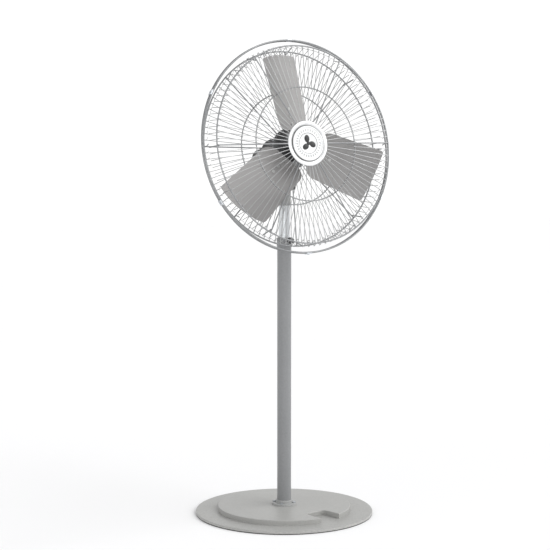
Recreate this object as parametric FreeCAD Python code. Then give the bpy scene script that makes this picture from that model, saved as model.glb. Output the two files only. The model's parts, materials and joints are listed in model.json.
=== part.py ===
import FreeCAD, Part
import math
import os

# A pedestal air circulator: a round weighted base, a two-part pole, and a fan head that
# tilts on the pole. Millimetres, +Z up, origin at the centre of the base on the floor.
# The fan blows towards -Y.

Vector = FreeCAD.Vector
ORIGIN = Vector(0, 0, 0)
X_AXIS = Vector(1, 0, 0)
Y_AXIS = Vector(0, 1, 0)
Z_AXIS = Vector(0, 0, 1)

# fits, as radial or face clearances
RUNNING_FIT = 0.05     # a shaft, tube or bolt that turns or slides in its bore
SCREW_FIT = 0.05       # a screw in its hole
CORE_FIT = 0.10        # a core, bearing or guide in its seat
SIDE_GAP = 0.30        # between flat faces that pass each other
AIR_GAP = 0.50         # between the rotor core and the stator

# base
BASE_DIAMETER = 610.0
FLOOR_RING_HEIGHT = 3.0
FLOOR_RING_WIDTH = 16.0
PAN_HEIGHT = 8.0
PAN_SHEET = 4.0
PAN_EDGE_ROUND = 3.0
WEIGHT_DIAMETER = 458.0
WEIGHT_THICKNESS = 17.0
WEIGHT_EDGE_ROUND = 3.0
NOTCH_WIDTH = 84.0
NOTCH_DEPTH = 79.0
NOTCH_CORNER = 14.0
NOTCH_ANGLE = 13.0     # from the front, -Y, towards +X
BASE_SCREW_COUNT = 4
BASE_SCREW_CIRCLE = 360.0
BASE_SCREW_RADIUS = 4.0
BASE_SCREW_LENGTH = 16.0
HEX_SHARE = 1.8        # a hex head's corner radius over its screw's radius

# pole
POLE_DIAMETER = 48.3
POLE_WALL = 2.6
POLE_TOP = 920.0
FLANGE_DIAMETER = 84.0
FLANGE_THICKNESS = 7.0
FLANGE_COLLAR_HEIGHT = 10.0
FLANGE_COLLAR_WALL = 5.0
FLANGE_LIP = 3.0
FLANGE_LIP_WIDTH = 2.0
FLANGE_EDGE_ROUND = 1.5
FLANGE_BOLT_COUNT = 4
FLANGE_BOLT_CIRCLE = 71.0
FLANGE_BOLT_RADIUS = 3.0
FLANGE_BOLT_LENGTH = 20.0
FLANGE_BOLT_HEAD = 3.9
SET_SCREW_RADIUS = 2.5
COLLAR_HEIGHT = 32.0
COLLAR_WALL_OVER_POLE = 1.4
COLLAR_SPIGOT = 30.0
COLLAR_EDGE_ROUND = 2.0
INNER_DIAMETER = 38.1
INNER_WALL = 2.0
INNER_BOTTOM = 400.0
INNER_TOP = 1100.0
GUIDE_HEIGHT = 30.0
GUIDE_GROOVE = 1.0
GUIDE_GROOVE_WIDTH = 8.0
CLAMP_HEIGHT = 943.0
CLAMP_SCREW_RADIUS = 4.0
CLAMP_BOSS_RADIUS = 9.0
CLAMP_BOSS_LENGTH = 7.0
CLAMP_KNOB_RADIUS = 11.0
CLAMP_KNOB_LENGTH = 16.0
KNOB_GAP = 1.5
KNOB_ROOT = 2.0        # how far a knob's screw or stem runs into its grip
GRIP_SCALLOP = 0.35    # a scallop's radius over the grip's radius
GRIP_SCALLOP_PLACE = 1.15
GRIP_EDGE_ROUND = 0.08

# pole head, which turns on the pole and carries the tilt pivot
HEAD_SLEEVE_WALL = 3.4
HEAD_SLEEVE_LENGTH = 48.0
HEAD_WEB = 9.0
HEAD_EDGE_ROUND = 4.0
CHEEK_ROOT = 7.0       # how far the cheeks run down into the web
PIVOT_HEIGHT = 1130.0
PIVOT_RADIUS = 5.0
CHEEK_RADIUS = 15.0
CHEEK_THICKNESS = 8.0
WASHER_THICKNESS = 1.5
WASHER_RADIUS = 12.0
SWIVEL_SCREW_HEIGHT = 1080.0
SWIVEL_KNOB_RADIUS = 9.0
SWIVEL_KNOB_LENGTH = 13.0
TILT_KNOB_RADIUS = 17.0
TILT_KNOB_LENGTH = 20.0
TILT_KNOB_CROWN = 5.0  # of the knob, beyond the pivot bolt's end
PIVOT_HEAD_LENGTH = 6.4
PIVOT_HEAD_RADIUS = 8.5

# fan head, in a frame of its own: z forward along the fan's axis from the rim's plane,
# y up, x to the right of someone who faces the fan
HEAD_TILT = 8.7        # degrees that the axis points above level at rest
HEAD_FORWARD = 112.0   # from the pivot to the rim's plane
HEAD_RISE = 115.0      # from the pivot up to the fan's axis

# motor
MOTOR_DIAMETER = 104.0
MOTOR_SHEET = 2.5
MOTOR_FRONT = -60.0
BELL_LENGTH = 12.0
BELL_EDGE_ROUND = 4.0
MOTOR_LENGTH = 108.0
STATOR_LENGTH = 62.0
STATOR_BORE = 56.0
WINDING_DIAMETER = 80.0
WINDING_LENGTH = 8.0
WINDING_ROUND = 3.0
WINDING_SETBACK = 2.0  # of the wound ends from the stator's bore
SHAFT_RADIUS = 6.35
SHAFT_FRONT = 6.0
SHAFT_BACK_GAP = 4.0   # between the shaft's end and the motor's back
SHAFT_CHAMFER = 1.0
BEARING_RADIUS = 16.0
BEARING_WIDTH = 10.0
BEARING_RING = 3.0
BEARING_BALL_COUNT = 8
SHAFT_HOLE_RADIUS = 9.0
MOTOR_BOLT_COUNT = 4
MOTOR_BOLT_CIRCLE = 88.0
MOTOR_BOLT_RADIUS = 2.5
MOTOR_BOLT_HEAD_RADIUS = 4.6
MOTOR_BOLT_HEAD = 4.0
MOTOR_BOLT_END = 1.0   # of each bolt, past its nut
BRACKET_SHEET = 5.0
BRACKET_WIDTH = 60.0
BRACKET_LEG = 84.0
BRACKET_LEG_DROP = 27.0
LUG_THICKNESS = 10.0
LUG_RADIUS = 15.0
HOUSING_DIAMETER = 64.0
HOUSING_LENGTH = 105.0
HOUSING_SHEET = 1.5
HOUSING_ROUND = 12.0
HOUSING_LIP_DIAMETER = 78.0
HOUSING_LIP = 2.0
HOUSING_SCREW_COUNT = 3
HOUSING_SCREW_CIRCLE = 71.0
HOUSING_SCREW_RADIUS = 1.6
HOUSING_SCREW_HEAD = 2.6
HOUSING_SCREW_HEAD_RADIUS = 3.0
HOUSING_SCREW_BITE = 8.0
CAPACITOR_RADIUS = 14.5
CAPACITOR_LENGTH = 56.0
CAPACITOR_EDGE_ROUND = 2.0
SWITCH_SIDE = 27.0
SWITCH_DEPTH = 24.0
SWITCH_SHAFT_RADIUS = 3.0
SPEED_KNOB_RADIUS = 16.0
SPEED_KNOB_LENGTH = 15.0
GLAND_RADIUS = 9.0
GLAND_BORE_RADIUS = 3.5
GLAND_LENGTH = 18.0
GLAND_FROM_MOTOR = 30.0
GLAND_NECK = 0.7       # the neck's radius over the gland's
GLAND_NUT = 0.4        # the nut's share of the length
GLAND_CAP_FOOT = 0.85
GLAND_CAP_TIP = 0.6
GLAND_INSIDE = 6.0     # how far the neck reaches into the housing

# rotor
SWEEP_DIAMETER = 626.0
BLADE_COUNT = 3
BLADE_ANGLE = 100.0    # where the first blade stands at rest, from x towards y
BLADE_PITCH = 24.0
BLADE_TIP_CHORD = 187.0
BLADE_ROOT_CHORD = 160.0
BLADE_ROOT_RADIUS = 58.0
BLADE_SHEET = 1.8
BLADE_CAMBER = 11.0
BLADE_TIP_CORNER = 22.0
BLADE_ROOT_CORNER = 42.0
BLADE_PLANE = -8.0     # of the blades' middle, from the rim's plane
ARM_LENGTH = 150.0
ARM_WIDTH = 44.0
ARM_SHEET = 4.0
HUB_RADIUS = 22.0
ARM_CORNER = 13.2
HUB_BACK = -33.0
HUB_FRONT = 4.0
HUB_CHAMFER = 1.5
RIVET_RADIUS = 3.0
RIVET_HEAD_RADIUS = 5.5
RIVET_HEAD = 2.2
RIVET_PLACES = (78.0, 104.0, 130.0)
RIVET_FIT = 0.05       # under the rivets' heads
HUB_SCREW_PLACE = -28.0
HUB_SCREW_RADIUS = 3.0

# guards
GUARD_DIAMETER = 720.0
RIM_WIRE = 6.0
RIM_SPREAD = 6.0       # each rim ring's distance from the rim's plane
FACE_RING_WIRE = 5.0
FACE_RING_DIAMETER = 660.0
MID_RING_WIRE = 4.0
MID_RING_DIAMETER = 380.0
SPOKE_WIRE = 2.4
SPOKE_COUNT = 96
SPOKE_SHORT_START = 183.0
FRONT_FACE_DEPTH = 50.0
FRONT_CENTRE_DEPTH = 60.0
FRONT_SPOKE_START = 60.0
FRONT_PLATE_RADIUS = 75.0
FRONT_PLATE_SHEET = 1.5
FRONT_PLATE_ROUND = 0.9
FRONT_RIB_COUNT = 6
FRONT_RIB_ANGLE = 1.0
BADGE_RADIUS = 58.0
BADGE_THICKNESS = 4.0
BADGE_RIM = 4.0
BADGE_DISH = 2.0
BADGE_EDGE_ROUND = 1.0
BADGE_SCREW_COUNT = 2
BADGE_SCREW_RADIUS = 1.5
BADGE_SCREW_PLACE = 50.0
BADGE_SCREW_END = 2.0  # of each screw, behind the plate
BADGE_SCREW_HEAD = 1.5
BADGE_SCREW_HEAD_RADIUS = 2.7
REAR_FACE_DEPTH = 50.0
REAR_SPOKE_START = 62.5
REAR_PLATE_RADIUS = 70.0
REAR_PLATE_SHEET = 2.0
REAR_RIB_COUNT = 8
REAR_RIB_ANGLE = -1.0
RIB_WIRE = 4.4
WELD_GAP = 0.05        # between a rib's end and the plate that it is welded to
WIRE_PAST_RIM = 1.0    # how far a side wire runs past the point where it meets the rim ring
CLIP_COUNT = 6
CLIP_ANGLE = 31.0
CLIP_LENGTH = 18.0
CLIP_DEPTH = 8.0
CLIP_COVER = 1.5
CLIP_EDGE_ROUND = 1.2
CLIP_SCREW_RADIUS = 1.9
CLIP_SCREW_HEAD_RADIUS = 3.8
CLIP_SCREW_HEAD = 2.4

# heights and radii that follow
PAN_BOTTOM = FLOOR_RING_HEIGHT
PAN_TOP = PAN_BOTTOM + PAN_HEIGHT
WEIGHT_TOP = PAN_TOP + WEIGHT_THICKNESS
FLANGE_TOP = WEIGHT_TOP + FLANGE_THICKNESS
POLE_RADIUS = POLE_DIAMETER / 2
POLE_BORE = POLE_RADIUS - POLE_WALL
INNER_RADIUS = INNER_DIAMETER / 2
COLLAR_RADIUS = POLE_RADIUS + COLLAR_WALL_OVER_POLE
SLEEVE_RADIUS = INNER_RADIUS + HEAD_SLEEVE_WALL
CHEEK_INNER = LUG_THICKNESS / 2 + WASHER_THICKNESS + SIDE_GAP
CHEEK_OUTER = CHEEK_INNER + CHEEK_THICKNESS
MOTOR_RADIUS = MOTOR_DIAMETER / 2
MOTOR_BACK = MOTOR_FRONT - MOTOR_LENGTH
BRACKET_FRONT = MOTOR_FRONT + BRACKET_SHEET
PLATE_FRONT = BRACKET_FRONT + REAR_PLATE_SHEET
STATOR_MIDDLE = MOTOR_FRONT - MOTOR_LENGTH / 2
STATOR_FRONT = STATOR_MIDDLE + STATOR_LENGTH / 2
STATOR_BACK = STATOR_MIDDLE - STATOR_LENGTH / 2
HOUSING_BACK = MOTOR_BACK - HOUSING_LENGTH
RIM_RADIUS = GUARD_DIAMETER / 2 - RIM_WIRE / 2
FACE_RADIUS = FACE_RING_DIAMETER / 2
MID_RADIUS = MID_RING_DIAMETER / 2
SPOKE = SPOKE_WIRE / 2


def tube(outer, inner, bottom, top):
    """A hollow cylinder along z."""
    body = Part.makeCylinder(outer, top - bottom, Vector(0, 0, bottom))
    return body.cut(Part.makeCylinder(inner, top - bottom + 2, Vector(0, 0, bottom - 1)))


def rod(start, end, radius):
    """A cylinder between two points."""
    along = end - start
    return Part.makeCylinder(radius, along.Length, start, along)


def box(low, high):
    """A box between two opposite corners."""
    size = high - low
    return Part.makeBox(size.x, size.y, size.z, low)


def ring(radius, wire, height):
    """A round wire ring about z."""
    return Part.makeTorus(radius, wire / 2, Vector(0, 0, height), Z_AXIS)


def hexagon(radius, bottom, height):
    """A hexagonal prism along z, with its corners at the radius."""
    turns = [math.radians(60 * k) for k in range(6)]
    corners = [Vector(radius * math.cos(turn), radius * math.sin(turn), bottom) for turn in turns]
    return Part.Face(Part.makePolygon(corners + corners[:1])).extrude(Vector(0, 0, height))


def turned(shape, angle, axis=Z_AXIS, centre=ORIGIN):
    """A copy of the shape, turned about an axis."""
    copy = shape.copy()
    copy.rotate(centre, axis, angle)
    return copy


def moved(shape, offset):
    """A copy of the shape, moved."""
    copy = shape.copy()
    copy.translate(offset)
    return copy


def around(shape, count, start=0.0):
    """Copies of the shape at equal steps about z."""
    return [turned(shape, start + 360.0 / count * k) for k in range(count)]


def edges_at(shape, height, radius):
    """The round edges about z at a height and a radius."""
    found = []
    for edge in shape.Edges:
        curve = edge.Curve
        if isinstance(curve, Part.Circle) and abs(curve.Radius - radius) < 0.01:
            if abs(curve.Center.z - height) < 0.01:
                found.append(edge)
    return found


def on_head(shape):
    """A shape of the fan head's frame, put where the head stands at rest."""
    tilt = math.radians(HEAD_TILT)
    back = -HEAD_FORWARD * math.cos(tilt) + HEAD_RISE * math.sin(tilt)
    rise = HEAD_FORWARD * math.sin(tilt) + HEAD_RISE * math.cos(tilt)
    placed = turned(shape, 90.0 - HEAD_TILT, X_AXIS)
    return moved(placed, Vector(0, back, PIVOT_HEIGHT + rise))


def write(node, *solids):
    """One sub-part's file, from its solids."""
    shape = solids[0] if len(solids) == 1 else Part.makeCompound(list(solids))
    shape.exportStep("parts/" + node + ".step")


def write_on_head(node, *solids):
    """One of the fan head's sub-parts."""
    write(node, *[on_head(solid) for solid in solids])


# ---- base ----

def make_floor_ring():
    """The rubber ring under the pan's rim, with a shoulder that fills the rim's inside."""
    outer = BASE_DIAMETER / 2 - 1.0
    shoulder = BASE_DIAMETER / 2 - PAN_SHEET - CORE_FIT
    inner = outer - FLOOR_RING_WIDTH
    foot = tube(outer, inner, 0, FLOOR_RING_HEIGHT)
    return foot.fuse(tube(shoulder, inner, FLOOR_RING_HEIGHT, PAN_TOP - PAN_SHEET)).removeSplitter()


def base_screw_hole(radius, bottom, top):
    place = Vector(BASE_SCREW_CIRCLE / 2, 0, bottom)
    return around(Part.makeCylinder(radius, top - bottom, place), BASE_SCREW_COUNT, 45.0)


def make_base_pan():
    """A pressed steel disc with a turned-down rim."""
    radius = BASE_DIAMETER / 2
    pan = Part.makeCylinder(radius, PAN_HEIGHT, Vector(0, 0, PAN_BOTTOM))
    pan = pan.makeFillet(PAN_EDGE_ROUND, edges_at(pan, PAN_TOP, radius))
    hollow = Part.makeCylinder(radius - PAN_SHEET, PAN_HEIGHT - PAN_SHEET, Vector(0, 0, PAN_BOTTOM))
    pan = pan.cut(hollow)
    return pan.cut(Part.makeCompound(base_screw_hole(BASE_SCREW_RADIUS + SCREW_FIT, 0, PAN_TOP + 1)))


def make_weight():
    """The cast weight on the pan, with a hand notch in its front edge."""
    radius = WEIGHT_DIAMETER / 2
    weight = Part.makeCylinder(radius, WEIGHT_THICKNESS, Vector(0, 0, PAN_TOP))
    low = Vector(-NOTCH_WIDTH / 2, -radius - NOTCH_DEPTH, PAN_TOP - 1)
    notch = box(low, Vector(NOTCH_WIDTH / 2, NOTCH_DEPTH - radius, WEIGHT_TOP + 1))
    corners = [edge for edge in notch.Edges
               if edge.BoundBox.ZLength > WEIGHT_THICKNESS and edge.CenterOfMass.y > -radius]
    weight = weight.cut(turned(notch.makeFillet(NOTCH_CORNER, corners), NOTCH_ANGLE))
    top_edges = [edge for edge in weight.Edges if abs(edge.BoundBox.ZMin - WEIGHT_TOP) < 0.01]
    weight = weight.makeFillet(WEIGHT_EDGE_ROUND, top_edges)
    depth = PAN_TOP + BASE_SCREW_LENGTH - PAN_SHEET + 1
    holes = base_screw_hole(BASE_SCREW_RADIUS + SCREW_FIT, PAN_TOP - 1, depth)
    holes += flange_bolt_holes(FLANGE_TOP - FLANGE_BOLT_LENGTH - 1, WEIGHT_TOP + 1)
    return weight.cut(Part.makeCompound(holes))


def make_base_screws():
    """Hex screws up through the pan into the weight."""
    under = PAN_TOP - PAN_SHEET
    head_height = under - PAN_BOTTOM - SIDE_GAP
    head = hexagon(BASE_SCREW_RADIUS * HEX_SHARE, under - head_height, head_height)
    screw = head.fuse(Part.makeCylinder(BASE_SCREW_RADIUS, BASE_SCREW_LENGTH, Vector(0, 0, under)))
    return around(moved(screw, Vector(BASE_SCREW_CIRCLE / 2, 0, 0)), BASE_SCREW_COUNT, 45.0)


def flange_bolt_holes(bottom, top):
    place = Vector(FLANGE_BOLT_CIRCLE / 2, 0, bottom)
    hole = Part.makeCylinder(FLANGE_BOLT_RADIUS + SCREW_FIT, top - bottom, place)
    return around(hole, FLANGE_BOLT_COUNT, 45.0)


def make_flange():
    """The round foot of the pole, with a low collar and a lip that the pole stands on."""
    collar = POLE_RADIUS + FLANGE_COLLAR_WALL
    top = FLANGE_TOP + FLANGE_COLLAR_HEIGHT
    body = Part.makeCylinder(FLANGE_DIAMETER / 2, FLANGE_THICKNESS, Vector(0, 0, WEIGHT_TOP))
    body = body.fuse(Part.makeCylinder(collar, top - WEIGHT_TOP, Vector(0, 0, WEIGHT_TOP))).removeSplitter()
    body = body.makeFillet(FLANGE_EDGE_ROUND, edges_at(body, FLANGE_TOP, FLANGE_DIAMETER / 2))
    body = body.makeFillet(FLANGE_EDGE_ROUND, edges_at(body, top, collar))
    seat = WEIGHT_TOP + FLANGE_LIP
    body = body.cut(Part.makeCylinder(POLE_RADIUS + SCREW_FIT, top, Vector(0, 0, seat)))
    body = body.cut(Part.makeCylinder(POLE_BORE - FLANGE_LIP_WIDTH, top, Vector(0, 0, WEIGHT_TOP - 1)))
    body = body.cut(Part.makeCompound(flange_bolt_holes(WEIGHT_TOP - 1, top)))
    return body.cut(Part.makeCompound(flange_set_screws(SCREW_FIT, POLE_RADIUS, collar + 1)))


def make_flange_bolts():
    """Hex bolts that hold the flange to the weight."""
    start = Vector(0, 0, FLANGE_TOP - FLANGE_BOLT_LENGTH)
    shank = Part.makeCylinder(FLANGE_BOLT_RADIUS, FLANGE_BOLT_LENGTH, start)
    bolt = shank.fuse(hexagon(FLANGE_BOLT_RADIUS * HEX_SHARE, FLANGE_TOP, FLANGE_BOLT_HEAD))
    return around(moved(bolt, Vector(FLANGE_BOLT_CIRCLE / 2, 0, 0)), FLANGE_BOLT_COUNT, 45.0)


def flange_set_screws(clearance, start, end):
    """Headless screws through the flange's collar, as solids or as the holes for them."""
    height = FLANGE_TOP + FLANGE_COLLAR_HEIGHT / 2
    screw = rod(Vector(start, 0, height), Vector(end, 0, height), SET_SCREW_RADIUS + clearance)
    return around(screw, 2, 0.0)


# ---- pole ----

def make_outer_pole():
    """The fixed lower tube."""
    return tube(POLE_RADIUS, POLE_BORE, WEIGHT_TOP + FLANGE_LIP, POLE_TOP)


def make_pole_collar():
    """The collar plugged into the pole's top, with a boss for the clamp screw."""
    top = POLE_TOP + COLLAR_HEIGHT
    body = Part.makeCylinder(COLLAR_RADIUS, COLLAR_HEIGHT, Vector(0, 0, POLE_TOP))
    body = body.makeFillet(COLLAR_EDGE_ROUND, edges_at(body, top, COLLAR_RADIUS))
    spigot = Part.makeCylinder(POLE_BORE - SCREW_FIT, COLLAR_SPIGOT, Vector(0, 0, POLE_TOP - COLLAR_SPIGOT))
    boss_end = -COLLAR_RADIUS - CLAMP_BOSS_LENGTH
    middle = Vector(0, 0, CLAMP_HEIGHT)
    boss = rod(middle, Vector(0, boss_end, CLAMP_HEIGHT), CLAMP_BOSS_RADIUS)
    body = body.fuse([spigot, boss]).removeSplitter()
    bore = Part.makeCylinder(INNER_RADIUS + RUNNING_FIT, top, Vector(0, 0, POLE_TOP - COLLAR_SPIGOT - 1))
    hole = rod(middle, Vector(0, boss_end - 1, CLAMP_HEIGHT), CLAMP_SCREW_RADIUS + RUNNING_FIT)
    return body.cut(bore).cut(hole)


def make_grip(radius, length, lobes):
    """A lobed grip along z from 0, with rounded ends."""
    body = Part.makeCylinder(radius, length)
    place = Vector(radius * GRIP_SCALLOP_PLACE, 0, -1)
    scallop = Part.makeCylinder(radius * GRIP_SCALLOP, length + 2, place)
    body = body.cut(Part.makeCompound(around(scallop, lobes)))
    ends = [edge for edge in body.Edges
            if edge.BoundBox.ZLength < 0.01 and isinstance(edge.Curve, Part.Circle)]
    return body.makeFillet(radius * GRIP_EDGE_ROUND, ends)


def make_clamp_knob():
    """A lobed knob on a screw that bears on the inner tube, along -Y."""
    tip = INNER_RADIUS + SIDE_GAP
    start = COLLAR_RADIUS + CLAMP_BOSS_LENGTH + KNOB_GAP
    grip = moved(make_grip(CLAMP_KNOB_RADIUS, CLAMP_KNOB_LENGTH, 6), Vector(0, 0, start))
    screw = rod(Vector(0, 0, tip), Vector(0, 0, start + KNOB_ROOT), CLAMP_SCREW_RADIUS)
    knob = turned(grip.fuse(screw), 90, X_AXIS)
    return moved(knob, Vector(0, 0, CLAMP_HEIGHT))


def make_inner_pole():
    """The sliding upper tube."""
    return tube(INNER_RADIUS, INNER_RADIUS - INNER_WALL, INNER_BOTTOM, INNER_TOP)


def make_pole_guide():
    """The nylon guide round the inner tube's lower end, which also stops it at the collar."""
    outer = POLE_BORE - RUNNING_FIT
    top = INNER_BOTTOM + GUIDE_HEIGHT
    guide = tube(outer, INNER_RADIUS + SCREW_FIT, INNER_BOTTOM, top)
    middle = INNER_BOTTOM + GUIDE_HEIGHT / 2
    half = GUIDE_GROOVE_WIDTH / 2
    groove = tube(outer + 1, outer - GUIDE_GROOVE, middle - half, middle + half)
    return guide.cut(groove)


# ---- pole head ----

def make_pole_head():
    """The casting that turns on the inner tube: a sleeve, a web and two cheeks."""
    bottom = INNER_TOP - HEAD_SLEEVE_LENGTH + HEAD_WEB
    web_top = INNER_TOP + HEAD_WEB
    body = Part.makeCylinder(SLEEVE_RADIUS, web_top - bottom, Vector(0, 0, bottom))
    body = body.makeFillet(HEAD_EDGE_ROUND, edges_at(body, web_top, SLEEVE_RADIUS))
    for side in (-1, 1):
        faces = sorted((side * CHEEK_INNER, side * CHEEK_OUTER))
        low = Vector(faces[0], -CHEEK_RADIUS, web_top - CHEEK_ROOT)
        cheek = box(low, Vector(faces[1], CHEEK_RADIUS, PIVOT_HEIGHT))
        start = Vector(faces[0], 0, PIVOT_HEIGHT)
        end = Vector(faces[1], 0, PIVOT_HEIGHT)
        body = body.fuse([cheek, rod(start, end, CHEEK_RADIUS)])
    body = body.removeSplitter()
    bore = Part.makeCylinder(INNER_RADIUS + RUNNING_FIT, INNER_TOP - bottom + 1, Vector(0, 0, bottom - 1))
    pin = rod(Vector(-CHEEK_OUTER - 1, 0, PIVOT_HEIGHT), Vector(CHEEK_OUTER + 1, 0, PIVOT_HEIGHT),
              PIVOT_RADIUS + RUNNING_FIT)
    hole = rod(Vector(0, 0, SWIVEL_SCREW_HEIGHT), Vector(0, SLEEVE_RADIUS + 1, SWIVEL_SCREW_HEIGHT),
               CLAMP_SCREW_RADIUS + RUNNING_FIT)
    return body.cut(bore).cut(pin).cut(hole)


def make_swivel_knob():
    """A small knob on a screw that locks the casting on the tube, along +Y."""
    tip = INNER_RADIUS + SIDE_GAP
    start = SLEEVE_RADIUS + KNOB_GAP
    grip = moved(make_grip(SWIVEL_KNOB_RADIUS, SWIVEL_KNOB_LENGTH, 6), Vector(0, 0, start))
    screw = rod(Vector(0, 0, tip), Vector(0, 0, start + KNOB_ROOT), CLAMP_SCREW_RADIUS)
    knob = turned(grip.fuse(screw), -90, X_AXIS)
    return moved(knob, Vector(0, 0, SWIVEL_SCREW_HEIGHT))


def make_pivot_bolt():
    """The tilt pivot: a hex bolt along +X, whose end the tilt knob screws on."""
    end = CHEEK_OUTER + KNOB_GAP + TILT_KNOB_LENGTH - TILT_KNOB_CROWN
    head = hexagon(PIVOT_HEAD_RADIUS, -CHEEK_OUTER - PIVOT_HEAD_LENGTH, PIVOT_HEAD_LENGTH)
    shank = Part.makeCylinder(PIVOT_RADIUS, CHEEK_OUTER + end, Vector(0, 0, -CHEEK_OUTER))
    return moved(turned(head.fuse(shank), 90, Y_AXIS), Vector(0, 0, PIVOT_HEIGHT))


def make_tilt_washers():
    """Friction washers between the cheeks and the lug."""
    washer = tube(WASHER_RADIUS, PIVOT_RADIUS + SCREW_FIT, 0, WASHER_THICKNESS)
    washer = moved(turned(washer, 90, Y_AXIS), Vector(CHEEK_INNER - WASHER_THICKNESS, 0, PIVOT_HEIGHT))
    return [washer, turned(washer, 180)]


def make_tilt_knob():
    """The lobed knob that clamps the tilt, with a blind bore for the pivot bolt."""
    start = CHEEK_OUTER + KNOB_GAP
    depth = TILT_KNOB_LENGTH - TILT_KNOB_CROWN + SIDE_GAP
    grip = make_grip(TILT_KNOB_RADIUS, TILT_KNOB_LENGTH, 5)
    grip = grip.cut(Part.makeCylinder(PIVOT_RADIUS + RUNNING_FIT, depth + 1, Vector(0, 0, -1)))
    return moved(turned(grip, 90, Y_AXIS), Vector(start, 0, PIVOT_HEIGHT))


# ---- motor, in the fan head's frame ----

def motor_bolt_holes(clearance, back, front):
    place = Vector(MOTOR_BOLT_CIRCLE / 2, 0, back)
    hole = Part.makeCylinder(MOTOR_BOLT_RADIUS + clearance, front - back, place)
    return Part.makeCompound(around(hole, MOTOR_BOLT_COUNT, 45.0))


def make_motor_bracket():
    """A bent plate behind the rear guard, with a foot under the motor and a lug for the pivot."""
    disc = Part.makeCylinder(MOTOR_RADIUS, BRACKET_SHEET, Vector(0, 0, MOTOR_FRONT))
    half = BRACKET_WIDTH / 2
    leg_top = -MOTOR_RADIUS - BRACKET_LEG_DROP
    leg_bottom = leg_top - BRACKET_SHEET
    strap = box(Vector(-half, leg_bottom, MOTOR_FRONT), Vector(half, 0, BRACKET_FRONT))
    leg = box(Vector(-half, leg_bottom, BRACKET_FRONT - BRACKET_LEG), Vector(half, leg_top, BRACKET_FRONT))
    thick = LUG_THICKNESS / 2
    pivot = Vector(0, -HEAD_RISE, -HEAD_FORWARD)
    lug = box(Vector(-thick, pivot.y, pivot.z - LUG_RADIUS), Vector(thick, leg_top, pivot.z + LUG_RADIUS))
    eye = rod(pivot - X_AXIS * thick, pivot + X_AXIS * thick, LUG_RADIUS)
    body = disc.fuse([strap, leg, lug, eye]).removeSplitter()
    hole = rod(pivot - X_AXIS * (thick + 1), pivot + X_AXIS * (thick + 1), PIVOT_RADIUS + RUNNING_FIT)
    body = body.cut(hole).cut(motor_bolt_holes(SCREW_FIT, MOTOR_FRONT - 1, BRACKET_FRONT + 1))
    return body.cut(Part.makeCylinder(SHAFT_HOLE_RADIUS, BRACKET_SHEET + 2, Vector(0, 0, MOTOR_FRONT - 1)))


def make_front_bell():
    """The motor's front end, with a seat for its bearing."""
    back = MOTOR_FRONT - BELL_LENGTH
    body = Part.makeCylinder(MOTOR_RADIUS, BELL_LENGTH, Vector(0, 0, back))
    body = body.makeFillet(BELL_EDGE_ROUND, edges_at(body, MOTOR_FRONT, MOTOR_RADIUS))
    body = body.cut(Part.makeCylinder(BEARING_RADIUS + SCREW_FIT, BEARING_WIDTH, Vector(0, 0, back)))
    body = body.cut(Part.makeCylinder(SHAFT_HOLE_RADIUS, BELL_LENGTH + 2, Vector(0, 0, back - 1)))
    return body.cut(motor_bolt_holes(SCREW_FIT, back - 1, MOTOR_FRONT + 1))


def make_rear_bell():
    """The motor's rear end, closed, with a bearing seat and holes for the housing's screws."""
    body = Part.makeCylinder(MOTOR_RADIUS, BELL_LENGTH, Vector(0, 0, MOTOR_BACK))
    body = body.makeFillet(BELL_EDGE_ROUND, edges_at(body, MOTOR_BACK, MOTOR_RADIUS))
    seat = MOTOR_BACK + BELL_LENGTH - BEARING_WIDTH
    body = body.cut(Part.makeCylinder(BEARING_RADIUS + SCREW_FIT, BELL_LENGTH, Vector(0, 0, seat)))
    body = body.cut(motor_bolt_holes(SCREW_FIT, MOTOR_BACK - 1, MOTOR_BACK + BELL_LENGTH + 1))
    return body.cut(Part.makeCompound(housing_screw_bodies(SCREW_FIT, 0.0)))


def make_motor_shell():
    """The rolled steel shell between the motor's ends."""
    back = MOTOR_BACK + BELL_LENGTH
    return tube(MOTOR_RADIUS, MOTOR_RADIUS - MOTOR_SHEET, back, MOTOR_FRONT - BELL_LENGTH)


def make_stator_core():
    """The stack of laminations, with passages for the motor's bolts."""
    outer = MOTOR_RADIUS - MOTOR_SHEET - CORE_FIT
    core = tube(outer, STATOR_BORE / 2, STATOR_BACK, STATOR_FRONT)
    return core.cut(motor_bolt_holes(CORE_FIT * 3, STATOR_BACK - 1, STATOR_FRONT + 1))


def make_stator_windings():
    """The two wound ends that stand out of the stack."""
    outer = WINDING_DIAMETER / 2
    inner = STATOR_BORE / 2 + WINDING_SETBACK
    windings = []
    for start in (STATOR_FRONT, STATOR_BACK - WINDING_LENGTH):
        end = start + WINDING_LENGTH
        coil = tube(outer, inner, start, end)
        rounded = end if start == STATOR_FRONT else start
        edges = edges_at(coil, rounded, outer) + edges_at(coil, rounded, inner)
        windings.append(coil.makeFillet(WINDING_ROUND, edges))
    return windings


def make_bearing(back):
    """A ball bearing: two races with a groove, and its balls."""
    front = back + BEARING_WIDTH
    bore = SHAFT_RADIUS + RUNNING_FIT
    ball_circle = (bore + BEARING_RADIUS) / 2
    ball = (BEARING_RADIUS - bore) / 2 - BEARING_RING / 2
    groove = Part.makeTorus(ball_circle, ball + RUNNING_FIT, Vector(0, 0, (back + front) / 2), Z_AXIS)
    outer = tube(BEARING_RADIUS, BEARING_RADIUS - BEARING_RING, back, front).cut(groove)
    inner = tube(bore + BEARING_RING, bore, back, front).cut(groove)
    sphere = Part.makeSphere(ball, Vector(ball_circle, 0, (back + front) / 2))
    return [outer, inner] + around(sphere, BEARING_BALL_COUNT)


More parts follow.
